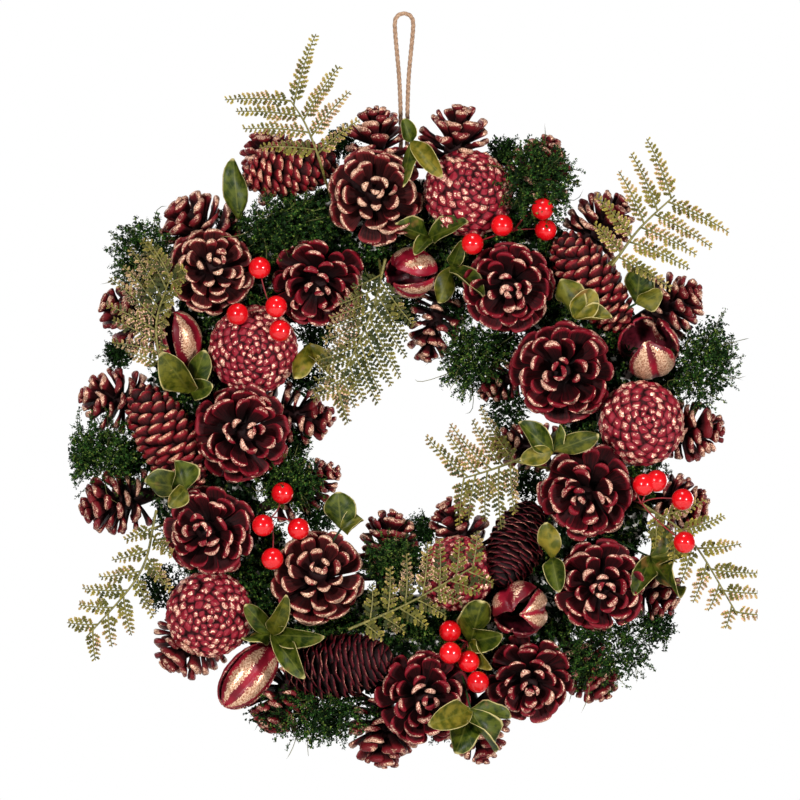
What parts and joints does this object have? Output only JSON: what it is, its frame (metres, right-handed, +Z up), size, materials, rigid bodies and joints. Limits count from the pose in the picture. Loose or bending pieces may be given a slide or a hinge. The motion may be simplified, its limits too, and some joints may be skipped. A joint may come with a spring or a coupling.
{
  "type": "dried flower wreath",
  "caption": "Round hanging wreath of dyed pine cones, seed pods, ferns, leaves, moss-like twigs and red berries on a foam ring with a jute loop.",
  "frame": {"origin": "inside of the top of the hanging loop, where a hook or nail carries the wreath", "axes": "+Z up as it hangs, +Y away from the viewer along the flat back's outward normal, +X to the right seen from the front"},
  "size_m": [0.3754, 0.0792, 0.4156],
  "materials": {
    "foam": "matte beaded foam",
    "jute": "twisted natural fibre",
    "open_cone": "dark wine dye, copper-gold brushed on the scale ends",
    "base_cone": "crimson dye, copper rubbed on the knobs",
    "long_cone": "crimson dye, pale copper scale edges",
    "pod": "satin crimson with gold patches",
    "leaf": "preserved leaf, satin, with paler edges",
    "fern": "olive-gold with copper glitter at the tips",
    "moss": "matte dark green fine twigs",
    "berry": "high-gloss lacquer"
  },
  "bodies": {
    "root": {"foam_ring": "foam", "hanging_loop": "jute", "open_cone_01": "open_cone", "open_cone_02": "open_cone", "open_cone_03": "open_cone", "open_cone_04": "open_cone", "open_cone_05": "open_cone", "open_cone_06": "open_cone", "open_cone_07": "open_cone", "open_cone_08": "open_cone", "open_cone_09": "open_cone", "open_cone_10": "open_cone", "open_cone_11": "open_cone", "open_cone_12": "open_cone", "rim_cones_outer_01": "open_cone", "rim_cones_outer_02": "open_cone", "rim_cones_outer_03": "open_cone", "rim_cones_inner_01": "open_cone", "rim_cones_inner_02": "open_cone", "base_cone_01": "base_cone", "base_cone_02": "base_cone", "base_cone_03": "base_cone", "base_cone_04": "base_cone", "base_cone_05": "base_cone", "long_cone_01": "long_cone", "long_cone_02": "long_cone", "long_cone_03": "long_cone", "long_cone_04": "long_cone", "long_cone_05": "long_cone", "seed_pod_01": "pod", "seed_pod_02": "pod", "seed_pod_03": "pod", "seed_pod_04": "pod", "seed_pod_05": "pod", "leaf_garland_01": "leaf", "leaf_garland_02": "leaf", "leaf_garland_03": "leaf", "fern_frond_01": "fern", "fern_frond_02": "fern", "fern_frond_03": "fern", "fern_frond_04": "fern", "fern_frond_05": "fern", "fern_frond_06": "fern", "fern_frond_07": "fern", "fern_frond_08": "fern", "green_spray_01": "moss", "green_spray_02": "moss", "green_spray_03": "moss", "green_spray_04": "moss", "green_spray_05": "moss", "green_spray_06": "moss", "green_spray_07": "moss", "green_spray_08": "moss", "green_spray_09": "moss", "green_spray_10": "moss", "berry_spray_01": "berry", "berry_spray_02": "berry", "berry_spray_03": "berry", "berry_spray_04": "berry", "berry_spray_05": "berry"}
  },
  "joints": []
}
